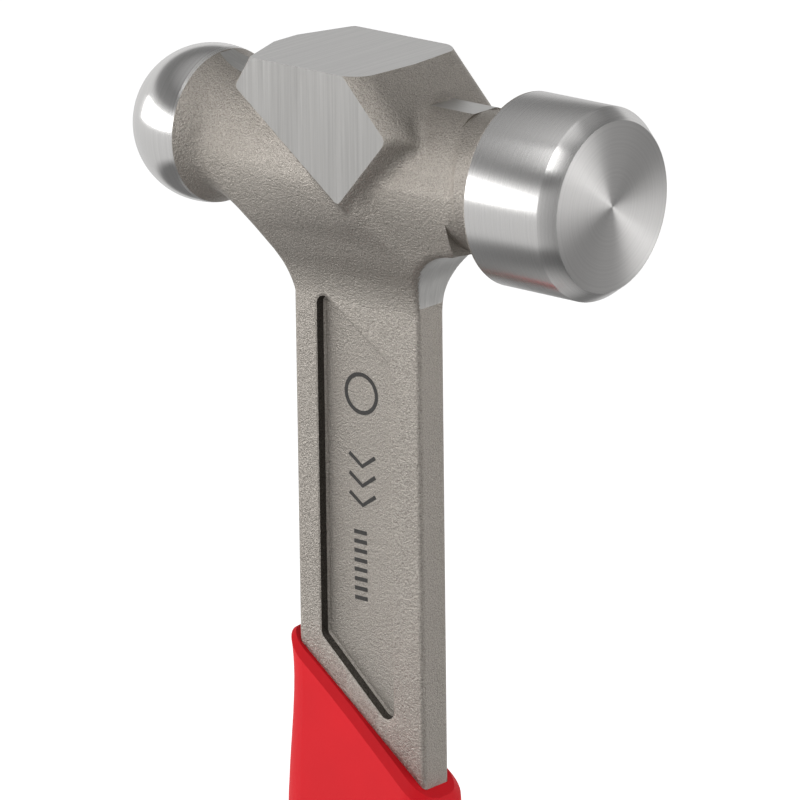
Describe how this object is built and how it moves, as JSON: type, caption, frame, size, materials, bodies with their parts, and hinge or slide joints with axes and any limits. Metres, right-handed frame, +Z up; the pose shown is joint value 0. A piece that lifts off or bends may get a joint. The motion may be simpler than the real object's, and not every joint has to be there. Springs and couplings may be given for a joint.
{
  "type": "ball peen hammer",
  "caption": "Ball peen hammer: forged steel head and pocketed flat shank in one piece, turned striking face, round peen, and a moulded red grip with soft dark pads.",
  "frame": {"origin": "middle of the grip, on the handle's centre line, where a hand or a holder takes it", "axes": "+Z up the handle to the head, +X the way the striking face points, +Y square to the cheeks"},
  "size_m": [0.1021, 0.033, 0.33],
  "materials": {
    "forged_steel": "blasted as-forged skin, with machined cheeks, crown, striking end and ball",
    "red_grip": "satin moulded red",
    "soft_pad": "matte soft moulding with fine texture"
  },
  "bodies": {
    "root": {"forging": "forged_steel", "grip_body": "red_grip", "grip_pad_peen_side": "soft_pad", "grip_pad_face_side": "soft_pad", "butt_bumper": "soft_pad"}
  },
  "joints": []
}
